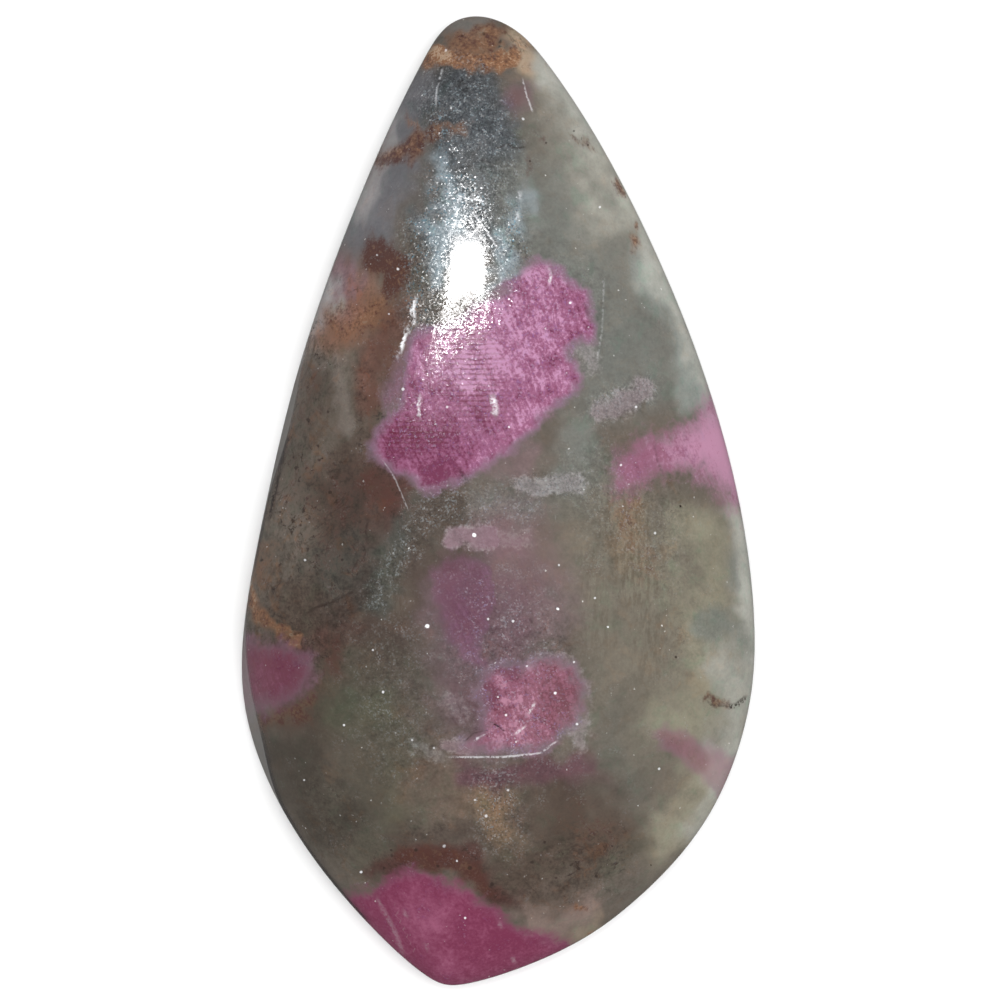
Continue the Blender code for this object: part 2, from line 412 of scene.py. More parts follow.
# Ruby crystals, each with its closed outline. Its look is softness, how strongly it shows, tone, 0 pink to 1
# deep, how grey its outermost grains are, how streaky it is, and warmth, -1 violet to 1 red. The shades are
# places inside it where the tone changes: place, radius, change.
rubies = {
    "big": {
        "outline": [
            (524, 262), (545, 256), (563, 271), (588, 291), (597, 316), (596, 342), (572, 349), (585, 374),
            (566, 398), (541, 421), (524, 440), (505, 457), (482, 474), (462, 480), (440, 493), (419, 490),
            (396, 472), (374, 459), (371, 445), (384, 423), (397, 402), (404, 364), (411, 334), (440, 326),
            (474, 308), (503, 287),
        ],
        "look": (4.5, 0.96, 0.47, 0.85, 0.8, -0.3),
        "shades": [
            # the two lighter places below the highlight are partly the ruby's own pink and partly painted
            # glare
            ((425, 440), 48, 0.36), ((505, 336), 26, -0.3), ((470, 366), 28, -0.36), ((442, 482), 20, 0.4),
            ((555, 296), 26, -0.16), ((578, 308), 22, 0.2), ((556, 388), 26, -0.12),
            ((535, 280), 24, -0.12), ((548, 330), 20, -0.08),
        ],
    },
    "rightBand": {
        "outline": [
            (612, 466), (630, 449), (654, 434), (700, 417), (712, 392), (770, 390), (780, 520), (738, 508),
            (716, 490), (694, 474), (664, 474), (640, 490), (618, 488),
        ],
        "look": (11.0, 0.78, 0.38, 0.3, 0.45, 0.0),
        "shades": [((735, 446), 46, -0.55), ((640, 470), 26, 0.15)],
    },
    "leftEdge": {
        "outline": [
            (225, 638), (262, 638), (290, 644), (309, 657), (315, 677), (306, 697), (283, 708), (255, 713),
            (225, 716),
        ],
        "look": (9.0, 0.66, 1.0, 0.6, 0.3, 0.0),
        "shades": [((262, 684), 20, -0.2)],
    },
    "bottom": {
        "outline": [
            (328, 904), (367, 890), (389, 879), (408, 871), (434, 875), (459, 885), (475, 897), (498, 910),
            (520, 925), (545, 932), (572, 948), (560, 1000), (440, 1015), (340, 950),
        ],
        "look": (6.0, 1.0, 0.88, 0.2, 0.1, 0.35),
        "shades": [((424, 922), 26, -0.22), ((450, 968), 14, -0.15), ((505, 935), 20, 0.1)],
    },
    "lowerGroup": {
        "outline": [
            (472, 688), (482, 670), (500, 660), (524, 659), (540, 656), (562, 658), (580, 674), (586, 700),
            (580, 722), (562, 736), (553, 748), (520, 755), (470, 752), (462, 742), (480, 728), (476, 706),
        ],
        "look": (6.5, 0.68, 0.55, 1.0, 0.9, 0.45),
        "shades": [
            ((487, 694), 19, 0.6), ((514, 669), 12, 0.55), ((517, 692), 14, -0.1), ((562, 700), 20, 0.5),
            ((516, 738), 26, -0.3), ((480, 737), 14, 0.35), ((499, 682), 7, -0.9), ((503, 700), 6, -0.7),
            ((530, 664), 7, -0.7),
        ],
    },
    "faint": {
        "outline": [
            (436, 562), (462, 552), (492, 558), (500, 585), (494, 622), (480, 646), (486, 668), (464, 660),
            (444, 636), (434, 600),
        ],
        "look": (6.0, 0.5, 0.95, 0.3, 0.6, -0.9),
        "shades": [((455, 600), 30, 0.1), ((472, 660), 20, -0.3)],
    },
    "topSpot": {
        "outline": [(512, 84), (528, 80), (534, 96), (524, 112), (508, 108)],
        "look": (6.0, 0.3, 1.0, 0.6, 0.4, 0.2), "shades": [],
    },
    "lowBar": {
        "outline": [
            (655, 733), (666, 725), (690, 730), (716, 745), (752, 768), (756, 806), (726, 800), (702, 781),
            (678, 760), (660, 746),
        ],
        "look": (4.5, 0.46, 0.75, 0.5, 0.2, 0.0), "shades": [],
    },
    "fringe": {
        "outline": [(396, 362), (404, 352), (410, 372), (404, 398), (388, 414), (380, 402), (386, 380)],
        "look": (6.0, 0.4, 0.3, 0.9, 0.6, -0.6), "shades": [],
    },
    "ghost": {
        "outline": [(494, 508), (530, 500), (560, 560), (540, 640), (500, 652), (470, 600)],
        "look": (22.0, 0.14, 0.8, 0.0, 0.8, 0.1), "shades": [],
    },
}

# Pale laths and blobs of feldspar in the face: path, half width, softness, amount, pinkness
laths = [
    ([(458, 538), (484, 538)], 13, 3.2, 0.7, 0.95),
    ([(484, 539), (526, 538)], 7, 6.0, 0.4, 0.8),
    ([(522, 484), (546, 487), (578, 483)], 9, 3.6, 0.7, 0.15),
    ([(538, 487), (558, 486)], 11, 4.0, 0.78, 0.1),
    ([(602, 411), (622, 402), (644, 388)], 11, 4.0, 0.6, 0.5),
    ([(616, 406), (630, 398)], 16, 5.0, 0.62, 0.5),
    ([(448, 747), (470, 748)], 8, 3.5, 0.5, 0.8),
    ([(582, 352), (590, 366)], 8, 5.0, 0.55, 0.2),
    ([(582, 722), (583, 740)], 9, 4.5, 0.5, 0.4),
    ([(540, 655), (560, 655), (578, 666), (588, 686), (588, 710)], 2.0, 5.0, 0.4, 0.6),
    ([(417, 745), (440, 760)], 7, 5.0, 0.3, 0.1),
    ([(452, 700), (466, 712)], 8, 6.0, 0.3, 0.5),
]

# Iron stain: path, half width, softness, amount, tone, 0 orange to 1 red-brown
stains = [
    ([(430, 58), (470, 60), (504, 57), (515, 55)], 9, 5, 1.05, 0.36),
    ([(434, 56), (452, 58)], 9, 5, 1.05, 0.12),
    ([(464, 42), (492, 38)], 16, 9, 0.9, 0.55),
    ([(516, 66), (540, 64)], 2, 5, 0.55, 0.35),
    ([(411, 122), (428, 132), (466, 131)], 5, 6, 0.85, 0.45),
    ([(426, 136), (400, 153), (372, 166)], 10, 7, 1.05, 0.75),
    ([(374, 256), (402, 266), (394, 284)], 17, 9, 1.1, 1.0),
    ([(340, 320), (372, 314)], 17, 11, 0.8, 0.5),
    ([(385, 350), (385, 400)], 9, 10, 0.6, 0.85),
    ([(316, 372), (300, 436)], 12, 10, 0.42, 0.85),
    ([(374, 380), (372, 440)], 8, 8, 0.6, 0.85),
    ([(368, 480), (395, 508)], 18, 12, 0.6, 1.0),
    ([(306, 360), (300, 380)], 4, 5, 0.7, 0.7),
    ([(300, 480), (350, 500), (330, 550)], 30, 24, 0.36, 0.9),
    ([(250, 600), (262, 622), (280, 634), (296, 636)], 5, 5, 0.95, 0.45),
    ([(252, 590), (254, 604)], 5, 4, 0.95, 0.3),
    ([(265, 545), (262, 575)], 12, 10, 0.5, 0.4),
    ([(262, 722), (300, 716), (316, 705)], 9, 8, 0.8, 0.85),
    ([(330, 640), (332, 672)], 8, 8, 0.6, 1.0),
    ([(400, 854), (450, 862), (490, 882)], 9, 7, 0.9, 1.0),
    ([(577, 904), (581, 906)], 3.5, 3, 1.1, 0.5),
    ([(589, 929), (592, 927)], 3.5, 4, 0.9, 0.4),
    ([(614, 182), (621, 198)], 3.5, 3, 0.95, 0.5),
    ([(634, 226), (639, 242)], 4, 3, 1.0, 0.5),
    ([(546, 143), (560, 135)], 3, 4, 0.6, 0.9),
    ([(530, 161), (532, 174)], 3, 4, 0.6, 0.9),
    ([(570, 130), (587, 144), (595, 147)], 2, 3, 0.65, 0.7),
    ([(620, 500), (640, 540), (650, 570)], 14, 14, 0.45, 0.3),
    ([(488, 800), (500, 826)], 16, 16, 0.4, 0.25),
    ([(496, 712), (522, 728)], 10, 8, 0.5, 0.5),
    ([(640, 486), (660, 492)], 5, 5, 0.5, 0.9),
    ([(707, 699), (716, 703), (730, 705)], 1.8, 2.5, 1.0, 0.75),
    ([(575, 820), (600, 842)], 20, 16, 0.35, 0.7),
]

# Where dark specks gather: path, half width, softness, density
speckleZones = [
    ([(310, 350), (285, 420), (290, 480)], 34, 15, 0.95),
    ([(300, 490), (320, 560), (290, 640)], 56, 20, 1.0),
    ([(366, 370), (370, 440), (385, 505)], 22, 12, 0.95),
    ([(450, 50), (510, 45)], 20, 10, 0.9),
    ([(540, 872), (600, 862)], 30, 14, 0.9),
    ([(388, 858), (455, 862), (500, 886)], 14, 9, 0.95),
    ([(408, 830), (452, 830)], 7, 7, 0.9),
    ([(320, 790), (350, 850)], 26, 12, 0.5),
    ([(350, 290), (388, 320)], 24, 12, 0.5),
    ([(390, 680), (450, 800)], 40, 20, 0.35),
    ([(470, 640), (540, 640)], 26, 15, 0.6),
    ([(490, 735), (530, 728)], 18, 8, 0.7),
    ([(640, 490), (670, 500)], 18, 10, 0.6),
    ([(640, 520), (670, 640)], 40, 20, 0.25),
]

# Zones where the polish is poor and grainy: path, half width, softness, amount
grainZones = [
    ([(458, 100), (478, 150), (468, 196)], 40, 16, 1.0),
    ([(420, 230), (420, 320)], 18, 12, 0.9),
    ([(508, 215), (515, 255)], 16, 12, 0.9),
    ([(440, 400), (540, 320)], 60, 24, 0.5),
    ([(440, 505), (520, 503)], 20, 12, 0.6),
    ([(430, 510), (372, 602)], 14, 8, 0.7),
    ([(494, 784), (500, 830)], 24, 14, 0.7),
    ([(500, 620), (520, 720)], 54, 30, 0.55),
    ([(600, 480), (640, 540)], 40, 20, 0.4),
    ([(390, 655), (400, 740)], 40, 26, 0.35),
    ([(522, 485), (576, 485)], 12, 6, 0.7),
    ([(603, 409), (642, 392)], 16, 6, 0.6),
]

# Where grains lie tilted, so that they catch the light: path, half width, softness, amount
glintZones = [
    ([(438, 112), (446, 156)], 14, 10, 0.55),
    ([(474, 92), (504, 160)], 26, 14, 0.2),
    ([(500, 92), (540, 160)], 22, 14, 0.3),
    ([(436, 166), (440, 212)], 14, 8, 1.0),
    ([(460, 184), (474, 208)], 15, 8, 0.75),
    ([(427, 225), (423, 312)], 18, 8, 1.0),
    ([(517, 194), (521, 250)], 9, 7, 0.9),
    ([(504, 236), (507, 292)], 15, 7, 1.0),
    ([(470, 318), (510, 314)], 14, 12, 0.25),
    ([(505, 300), (540, 268)], 16, 10, 0.5),
    ([(425, 400), (510, 400)], 34, 20, 0.12),
    ([(440, 330), (468, 372)], 20, 14, 0.1),
    ([(430, 510), (540, 500)], 26, 16, 0.12),
    ([(460, 600), (540, 740)], 50, 20, 0.2),
    ([(500, 700), (520, 738)], 24, 10, 0.4),
    ([(492, 800), (496, 822)], 20, 9, 0.3),
]

# Where the feldspar is fibrous: path, half width, softness, amount
fibreZones = [
    ([(622, 500), (640, 585)], 22, 12, 1.0),
    ([(590, 560), (600, 640)], 16, 12, 0.5),
    ([(655, 600), (650, 660)], 22, 14, 0.5),
    ([(390, 560), (400, 600)], 12, 8, 0.4),
]

# Where the large crystal's growth lines show: path and radius
growthLines = [([(466, 350), (474, 392)], 30), ([(396, 436), (432, 432)], 20)]

# Fine lines: path, half width, strength, which is negative for dark ones and positive for pale ones.
# The strong pale ones are painted glints on scratches and grains.
fineLines = [
    ([(384, 462), (395, 478), (407, 507)], 0.8, 0.2),
    ([(442, 71), (437, 88), (436, 105)], 1.1, 0.26),
    ([(523, 81), (527, 96), (532, 109)], 1.0, 0.3),
    ([(604, 282), (602, 330), (598, 356)], 1.2, 0.12),
    ([(452, 757), (500, 757), (541, 753), (554, 743)], 1.1, 0.42),
    ([(379, 902), (395, 931), (402, 950)], 2.6, 0.1),
    ([(406, 914), (426, 947)], 2.6, 0.1),
    ([(500, 925), (514, 960)], 2.6, 0.1),
    ([(498, 147), (508, 144), (514, 148), (523, 147)], 1.3, -0.7),
    ([(462, 474), (466, 480)], 3.0, -0.7),
    ([(492, 723), (498, 726), (503, 730)], 1.0, -0.9),
    ([(466, 740), (474, 733), (486, 731)], 1.0, -0.6),
    ([(655, 446), (658, 462), (663, 474)], 1.6, -0.25),
    ([(684, 436), (685, 446)], 1.6, -0.25),
    ([(706, 700), (712, 705), (728, 706)], 1.2, -0.4),
    ([(729, 706), (735, 706), (743, 699)], 2.6, -1.0),
    ([(306, 614), (318, 606), (330, 603), (352, 592)], 1.8, -0.7),
    ([(286, 640), (292, 634), (303, 632)], 2.0, -0.6),
    ([(345, 588), (372, 572)], 1.2, -0.5),
    ([(368, 522), (366, 530), (367, 540)], 1.4, -0.6),
    ([(316, 340), (311, 362), (302, 382)], 1.2, -0.4),
    # painted shade: the black strip on the narrow left facet, for its dark reflection
    ([(286, 444), (281, 466), (276, 490), (270, 518)], 2.4, -1.0),
    # painted glints from here on, on scratches and grains that catch the key light
    ([(459, 196), (470, 199), (484, 201)], 0.8, 0.6),
    ([(473, 213), (484, 227), (496, 246)], 0.9, 0.6),
    ([(415, 302), (413, 311), (414, 320)], 2.4, 0.9),
    ([(406, 333), (404, 341), (401, 350)], 2.2, 0.9),
    ([(520, 196), (518, 216)], 2.4, 0.4),
    ([(419, 401), (418, 406), (419, 413)], 1.6, 0.8),
    ([(494, 402), (495, 409)], 3.4, 1.0),
    ([(550, 272), (551, 276), (550, 281)], 1.5, 0.6),
    ([(533, 706), (530, 711)], 1.6, 0.8),
    ([(523, 728), (518, 732)], 1.4, 0.7),
    ([(484, 734), (477, 739)], 1.2, 0.7),
]

# Stretches of the dome's foot where the painted shade line is darkest: path, half width, softness, amount
paintedFootShadeStretches = [
    ([(281, 440), (271, 480), (256, 560)], 6, 10, 0.9),
    ([(258, 745), (283, 805), (335, 885), (360, 915)], 8, 10, 1.0),
]

# Small round spots, well apart: across, down, radius, strength as above; the pale ones are painted glints
dots = [
    (451, 108, 1.2, 0.6), (523, 119, 1.5, 0.5), (377, 255, 1.1, 0.5), (398, 269, 1.3, 0.6),
    (389, 314, 1.2, 0.5), (447, 407, 1.3, 0.5), (509, 427, 1.2, 0.7), (403, 389, 1.4, 0.6),
    (570, 303, 1.2, 0.7), (600, 207, 1.3, 0.6), (474, 535, 2.2, 0.95), (427, 626, 2.2, 0.95),
    (608, 627, 1.6, 0.9), (558, 609, 1.6, 0.9), (555, 693, 1.6, 0.8), (636, 407, 1.4, 0.6),
    (621, 465, 1.3, 0.6), (655, 533, 1.3, 0.5), (361, 872, 1.3, 0.7), (457, 861, 1.1, 0.6),
    (465, 918, 1.3, 0.7), (305, 560, 1.1, 0.5), (527, 666, 1.2, 0.6), (574, 662, 1.2, 0.6),
    (373, 650, 1.1, 0.5), (383, 692, 1.3, 0.7), (344, 725, 1.2, 0.7), (559, 565, 1.1, 0.5),
    (488, 619, 1.2, 0.6), (513, 621, 1.3, 0.6), (595, 598, 1.1, 0.5), (659, 769, 1.2, 0.5),
    (577, 724, 1.2, 0.6), (506, 715, 1.2, 0.7), (475, 800, 1.2, 0.5), (498, 697, 1.2, 0.6),
    (508, 790, 1.4, 0.5), (486, 816, 1.5, 0.5), (412, 740, 1.2, 0.4), (434, 748, 1.1, 0.4),
    (304, 780, 1.0, 0.5), (444, 846, 1.8, 0.35), (516, 742, 1.1, 0.7), (680.5, 506, 1.5, -1.0),
    (676, 657, 1.6, -0.8), (651, 865, 1.2, -0.8), (612, 846, 1.2, -0.8), (308, 420, 2.2, -0.7),
    (328, 412, 1.8, -0.7), (288, 440, 2.0, -0.7), (318, 446, 1.6, -0.7), (296, 468, 2.0, -0.7),
    (330, 492, 2.0, -0.7), (280, 512, 1.8, -0.7), (262, 560, 1.6, -0.7), (342, 560, 1.6, -0.7),
    (438, 866, 2.0, -0.7), (416, 850, 1.8, -0.7), (470, 868, 2.2, -0.7), (492, 884, 2.2, -0.7),
    (556, 878, 1.8, -0.7), (532, 862, 2.0, -0.7), (578, 868, 1.8, -0.7), (596, 876, 1.8, -0.7),
    (545, 842, 1.6, -0.7), (391, 850, 1.4, -0.7), (384, 868, 1.6, -0.7), (546, 143, 1.4, -0.7),
    (530, 161, 1.4, -0.7), (574, 131, 1.2, -0.7), (588, 145, 1.3, -0.7), (462, 36, 1.6, -0.6),
    (484, 34, 1.8, -0.6), (500, 42, 1.8, -0.6), (446, 50, 1.6, 0.4),
]


# The greatest amount that any of the zones has at each point.
def mostOf(spots, zones):
    most = np.zeros(len(spots))
    for path, width, soft, amount in zones:
        most = np.maximum(most, amount * nearTo(spots, path, width, soft))
    return most


# Colour of the feldspar: each patch mixed over what lies below it by its nearness and amount.
def groundColour(spots):
    pushed = wander(spots, 7, 3, seed=40)
    colour = np.tile(linear(minerals["taupe"]), (len(spots), 1))
    for mineral, amount, width, soft, path in groundPatches:
        cover = (amount * nearTo(pushed, path, width, soft))[:, None]
        colour = colour * (1 - cover) + linear(minerals[mineral]) * cover
    return colour


# For each point the crystal that covers it most: depth inside its edge in units of its softness, how
# strongly it shows, and its tone with bell-shaped changes; then its rim, streaks and warmth.
def rubyFields(spots):
    pushed = wander(spots, 1.5, 1.6, seed=60)
    best = np.full(len(spots), farOutside)
    amount, tone, rim, streaks, warmth = np.zeros((5, len(spots)))
    for ruby in rubies.values():
        soft, *look = ruby["look"]
        depth = np.clip(insideOf(pushed, ruby["outline"]) / soft, farOutside, 12)
        shade = np.full(len(spots), look[1])
        for centre, radius, change in ruby["shades"]:
            shade += change * np.exp(-((awayFrom(pushed, [centre]) / radius) ** 2))
        nearer = depth > best
        best[nearer] = depth[nearer]
        amount[nearer], tone[nearer] = look[0], shade[nearer]
        rim[nearer], streaks[nearer], warmth[nearer] = look[2:]
    return np.column_stack([best, amount, tone]), np.column_stack([rim, streaks, warmth])


# The same for the pale laths, with pinkness for the tone.
def lathField(spots):
    pushed = wander(spots, 2.0, 1.6, seed=70)
    best = np.full(len(spots), farOutside)
    amount, pink = np.zeros((2, len(spots)))
    for path, width, soft, strength, pinkness in laths:
        depth = np.clip((width - awayFrom(pushed, path)) / soft, farOutside, 6)
        nearer = depth > best
        best[nearer] = depth[nearer]
        amount[nearer], pink[nearer] = strength, pinkness
    return np.column_stack([best, amount, pink])


# Stain strength as the greatest over the stains, with the tone of the one that wins, and the density of
# dark specks.
def stainField(spots):
    pushed = wander(spots, 3.0, 2.5, seed=80)
    most, tone = np.zeros((2, len(spots)))
    for path, width, soft, amount, kind in stains:
        here = amount * nearTo(pushed, path, width, soft)
        stronger = here > most
        most[stronger] = here[stronger]
        tone[stronger] = kind
    return np.column_stack([most, tone, mostOf(pushed, speckleZones)])


# Grain, the painted shade line round the foot of the dome, faint but for its dark stretches, and the kind
# of finish.
def finishField(places, edgeLine, ground):
    edge = np.maximum(stoneShape["faintFootShade"], mostOf(places, paintedFootShadeStretches))
    return np.column_stack([mostOf(places, grainZones), edgeLine * edge, ground])


# Growth lines as bells, then glinting grains and fibres.
def crystalField(spots):
    lines = np.zeros(len(spots))
    for path, radius in growthLines:
        lines = np.maximum(lines, np.exp(-((awayFrom(spots, path) / radius) ** 2)))
    return np.column_stack([lines, mostOf(spots, glintZones), mostOf(spots, fibreZones)])


# For the fine line nearest to each point: how far the point lies to the side of it, in half widths and
# negative on one side, and its strength, which fades past the line's ends and ends well away from it.
def lineField(places):
    nearest = np.full(len(places), np.inf)
    offset, shown = np.zeros((2, len(places)))
    for path, width, strength in fineLines:
        stops = np.array(path, float)
        for part, (start, end) in enumerate(zip(stops, stops[1:])):
            length = np.linalg.norm(end - start)
            along = (end - start) / length
            here = places[:, :2] - start
            reach = here @ along
            aside = here[:, 0] * along[1] - here[:, 1] * along[0]
            away = np.hypot(aside, reach - np.clip(reach, 0, length))
            past = np.maximum(-reach if part == 0 else 0, reach - length if part == len(stops) - 2 else 0)
            closer = away < nearest
            nearest[closer] = away[closer]
            offset[closer] = np.clip(aside / width, -9, 9)[closer]
            fade = np.exp(-((past / (1.2 + width)) ** 2)) * (away < markReach + 2 * width)
            shown[closer] = (strength * fade)[closer]
    return np.column_stack([offset, shown, np.zeros(len(places))])


# For the small spot nearest to each point: how far to the side and below its middle the point lies, in
# radii, and its strength, which is none at all well away from it.
def spotField(places):
    nearest = np.full(len(places), np.inf)
    aside, below, shown = np.zeros((3, len(places)))
    for x, y, radius, strength in dots:
        right, down = places[:, 0] - x, places[:, 1] - y
        away = np.hypot(right, down)
        closer = away < nearest
        nearest[closer] = away[closer]
        aside[closer], below[closer] = right[closer] / radius, down[closer] / radius
        shown[closer] = (strength * (away < markReach + radius))[closer]
    return np.column_stack([aside, below, shown])


# What the three numbers of each field are, as the material reads them
fieldParts = {
    "ruby": ("rubyDepth", "rubyAmount", "rubyTone"),
    "rubyGrain": ("rubyRim", "rubyStreaks", "rubyWarmth"),
    "lath": ("lathDepth", "lathAmount", "lathPink"),
    "stain": ("stainAmount", "stainTone", "speckleDensity"),
    "finish": ("grain", "edgeLine", "groundShare"),
    "lines": ("lineOffset", "lineShown"),
    "spots": ("spotAside", "spotBelow", "spotShown"),
    "crystals": ("growth", "glint", "fibres"),
}


# Shader maths

# A socket's value: arithmetic on it adds Math nodes
class Wire:
    def __init__(self, tree, socket):
        self.tree = tree
        self.socket = socket

    def maths(self, operation, *others, clamp=False):
        settings = {"operation": operation, "use_clamp": clamp}
        return addNode(self.tree, "ShaderNodeMath", settings, dict(enumerate((self, *others))))

    def __add__(self, other):
        return self.maths("ADD", other)

    def __sub__(self, other):
        return self.maths("SUBTRACT", other)

    def __rsub__(self, other):
        return (self * -1).maths("ADD", other)

    def __mul__(self, other):
        return self.maths("MULTIPLY", other)

    def __truediv__(self, other):
        return self.maths("DIVIDE", other)

    __radd__ = __add__
    __rmul__ = __mul__

    def absolute(self):
        return self.maths("ABSOLUTE")

    def clamped(self):
        return self.maths("ADD", 0.0, clamp=True)

    # smooth step from 0 at low to 1 at high
    def step(self, low, high):
        settings = {"interpolation_type": "SMOOTHSTEP", "clamp": True}
        inputs = {"Value": self, "From Min": low, "From Max": high}
        return addNode(self.tree, "ShaderNodeMapRange", settings, inputs)

    def vector(self, operation, *others, output=0, **named):
        inputs = {**dict(enumerate((self, *others))), **named}
        return addNode(self.tree, "ShaderNodeVectorMath", {"operation": operation}, inputs, output)

    def parts(self):
        first = addNode(self.tree, "ShaderNodeSeparateXYZ", None, {0: self})
        return [Wire(self.tree, out) for out in first.socket.node.outputs]


# Adds a node: its settings first, then its sockets' values or links; gives a wire from the chosen output
def addNode(tree, kind, settings=None, inputs=None, output=0):
    node = tree.nodes.new(kind)
    for name, value in (settings or {}).items():
        if name == "stops":
            fillRamp(node.color_ramp, value)
        else:
            setattr(node, name, value)
    for name, value in (inputs or {}).items():
        if isinstance(value, Wire):
            tree.links.new(value.socket, node.inputs[name])
        else:
            node.inputs[name].default_value = value
    return Wire(tree, node.outputs[output])


def fillRamp(ramp, stops):
    while len(ramp.elements) < len(stops):
        ramp.elements.new(1.0)
    for element, (place, colour) in zip(ramp.elements, stops):
        element.position = place
        element.color = asColour(colour)


def field(tree, name):
    return addNode(tree, "ShaderNodeAttribute", {"attribute_name": name}, None, 1)


# Noise about zero, of the kind that the stone's look gives under this name
def noise(place, name):
    size, detail, rough, twist = stoneLook[name]
    inputs = {"Vector": place, "Scale": 1 / size, "Detail": detail, "Roughness": rough, "Distortion": twist}
    return addNode(place.tree, "ShaderNodeTexNoise", None, inputs) - 0.5


# A colour is a wire, three shares of light, or the name of one of the stone's colours
def asColour(value):
    if isinstance(value, Wire):
        return value
    return (*(linear(stoneLook[value]) if isinstance(value, str) else value), 1.0)


def mix(amount, first, second, blend="MIX"):
    tree = next(value.tree for value in (amount, first, second) if isinstance(value, Wire))
    settings = {"data_type": "RGBA", "blend_type": blend, "clamp_factor": True}
    inputs = {0: amount, 6: asColour(first), 7: asColour(second)}
    return addNode(tree, "ShaderNodeMix", settings, inputs, 2)


def times(colour, factor):
    return mix(1.0, colour, factor, "MULTIPLY")


# The colour made lighter and darker by a number
def shaded(colour, shade):
    return times(colour, addNode(shade.tree, "ShaderNodeCombineColor", None, {0: shade, 1: shade, 2: shade}))


# The stone's finish: colours as they look in even light, some of them painted light as marked, and sizes
# in millimetres
stoneLook = {
    "rubyPink": (212, 151, 185),
    "rubyMiddle": (164, 96, 129),
    "rubyDeep": (124, 52, 84),
    "rubyLine": (108, 32, 52),
    # painted sparkle in the ruby: pale and violet glints
    "rubySpark": (216, 196, 226),
    "rubyViolet": (150, 118, 196),
    "rubyRim": (134, 116, 130),
    "lathGrey": (148, 146, 144),
    "lathPink": (154, 124, 136),
    "lathRim": (186, 183, 180),
    "rustPale": (196, 166, 138),
    "rustOrange": (158, 112, 80),
    "rust": (122, 86, 64),
    "redBrown": (84, 50, 43),
    "speckle": (46, 34, 30),
    "fibreDark": (96, 84, 68),
    "fibreLight": (146, 140, 122),
    # pale grains that are partly painted glints, and a painted cyan glint tint
    "grainLight": (180, 184, 184),
    "grainCool": (112, 160, 180),
    "groundGrey": (150, 149, 147),
    # painted shade: colour of the dark line at the dome's foot
    "edge": (26, 22, 22),
    # noise: size, detail, roughness, twist
    "cloud": (3.2, 3.0, 0.55, 0.4),
    "mottle": (1.0, 3.0, 0.6, 0.6),
    "fleck": (0.36, 3.0, 0.65, 0.4),
    "dust": (0.12, 2.0, 0.6, 0.0),
    "hue": (0.7, 4.0, 0.7, 0.8),
    "speck": (0.34, 4.0, 0.72, 0.3),
    "vein": (2.1, 5.0, 0.6, 1.2),
    "fibre": (1.0, 3.0, 0.6, 0.3),
    "streak": (1.0, 3.0, 0.6, 0.4),
    "streakSize": (0.16, 1.3),   # across and along the streaks in the ruby
    "growthPitch": 0.21,         # between the growth lines in the large crystal
    "grainSize": 1.15,           # across the grains of feldspar
    "facetSize": 0.062,          # across the grains that glint
    "facetTilt": 1450.0,         # how steeply they lean, in micrometres per millimetre
    "finish": (0.13, 0.25, 0.55),   # roughness: polished, of grains that glint, ground
}


# What the stone's layers share: the place in millimetres, noise from clouds of 3 mm to dust of 0.1 mm, the
# fields' parts under their names, and small grains with a random colour each.
def sharedTextures(tree):
    place = addNode(tree, "ShaderNodeTexCoord", None, None, "Object").vector("SCALE", Scale=1 / millimetre)
    rock = SimpleNamespace(place=place)
    for name in ("cloud", "mottle", "fleck", "dust", "hue"):
        setattr(rock, name, noise(place, name))
    for name, partNames in fieldParts.items():
        for partName, part in zip(partNames, field(tree, name).parts()):
            setattr(rock, partName, part)
    inputs = {"Vector": place, "Scale": 1 / stoneLook["facetSize"]}
    rock.cells = addNode(tree, "ShaderNodeTexVoronoi", None, inputs, "Color")
    rock.cellPale, rock.cellDark, rock.cellHue = rock.cells.parts()
    return rock


# Feldspar: its broad colour, mottled in brightness and a little in hue by noise and by blurred grains whose
# walls are pushed about. Dark specks, fine veins and upright fibres lie in it where they gather.
def feldsparColour(tree, rock):
    bend = addNode(tree, "ShaderNodeTexNoise", None, {"Vector": rock.place, "Scale": 1.4, "Detail": 3.0}, 1)
    bent = bend.vector("MULTIPLY_ADD", (0.9, 0.9, 0.9), rock.place)
    inputs = {"Vector": bent, "Scale": 1 / stoneLook["grainSize"], "Smoothness": 0.35}
    grains = addNode(tree, "ShaderNodeTexVoronoi", {"feature": "SMOOTH_F1"}, inputs, "Color")
    grainTone, grainHue = grains.parts()[:2]
    rugged = 0.32 + 0.8 * rock.speckleDensity + 1.1 * rock.grain
    shade = 1.0 + 0.22 * rock.cloud + (grainTone - 0.5) * 0.17
    shade = shade + rugged * (0.9 * rock.mottle + 1.2 * rock.fleck + 0.9 * rock.dust)
    colour = shaded(field(tree, "ground"), shade)
    warmer = times(colour, (1.2, 0.95, 0.8))
    cooler = times(colour, (0.9, 1.03, 0.98))
    warmth = rock.hue + (grainHue - 0.5) * 0.2
    colour = mix(warmth.step(0.02, 0.24) * (0.25 + rock.speckleDensity), colour, warmer)
    colour = mix((warmth * -1.0).step(0.02, 0.24) * 0.9, colour, cooler)

    specks = (noise(rock.place, "speck") + rock.mottle * 0.45).step(0.09, 0.2) * rock.speckleDensity
    colour = mix(specks * 0.8, colour, "speckle")
    veins = 1.0 - noise(rock.place, "vein").absolute().step(0.004, 0.02)
    colour = mix(veins * (rock.speckleDensity * (0.4 + rock.mottle * 2.0)).clamped() * 0.8, colour, "speckle")

    fibre = noise(rock.place.vector("MULTIPLY", (6.0, 1.5, 1.0)), "fibre")
    return mix(rock.fibres * 0.35, colour, mix(fibre.step(-0.12, 0.12), "fibreDark", "fibreLight"))


